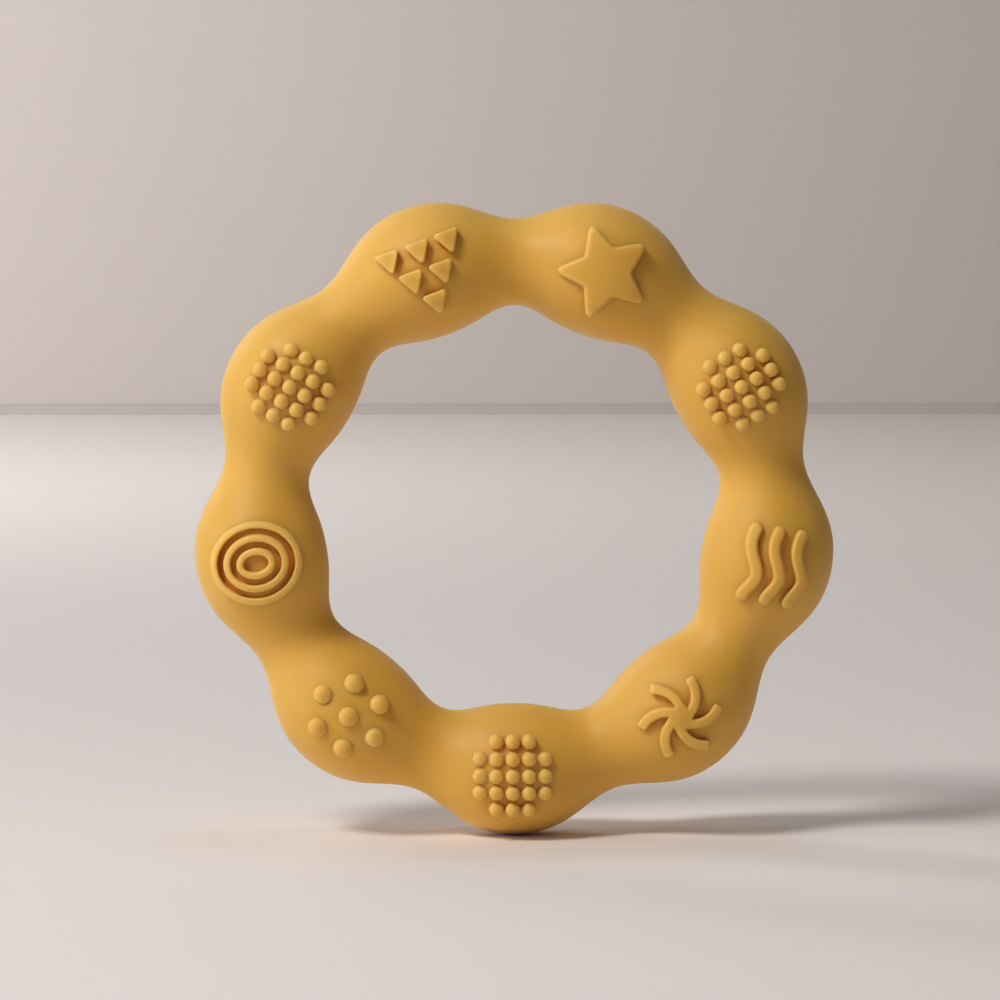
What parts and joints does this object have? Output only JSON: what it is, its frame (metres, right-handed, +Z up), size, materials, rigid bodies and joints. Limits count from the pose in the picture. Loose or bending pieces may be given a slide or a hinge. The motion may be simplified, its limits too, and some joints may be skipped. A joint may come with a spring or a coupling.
{
  "type": "teething ring",
  "caption": "Soft silicone teething ring of round lobes joined by narrow necks, with a different raised pattern on the front of the lobes.",
  "frame": {"origin": "centre of the ring, in its mid-plane", "axes": "Y along the ring's axis, with the patterned face towards -Y; +Z up through the neck opposite the lowest lobe; +X to the right as seen from the patterned side"},
  "size_m": [0.1086, 0.0237, 0.1076],
  "materials": {
    "mustard_silicone": "matte, mustard yellow food-grade silicone, coloured right through"
  },
  "bodies": {
    "root": {"ring_body": "mustard_silicone", "nub_grid_bottom": "mustard_silicone", "pinwheel_relief": "mustard_silicone", "wave_relief": "mustard_silicone", "nub_grid_right": "mustard_silicone", "star_relief": "mustard_silicone", "triangle_relief": "mustard_silicone", "nub_grid_left": "mustard_silicone", "ripple_relief": "mustard_silicone", "seven_nub_relief": "mustard_silicone"}
  },
  "joints": []
}
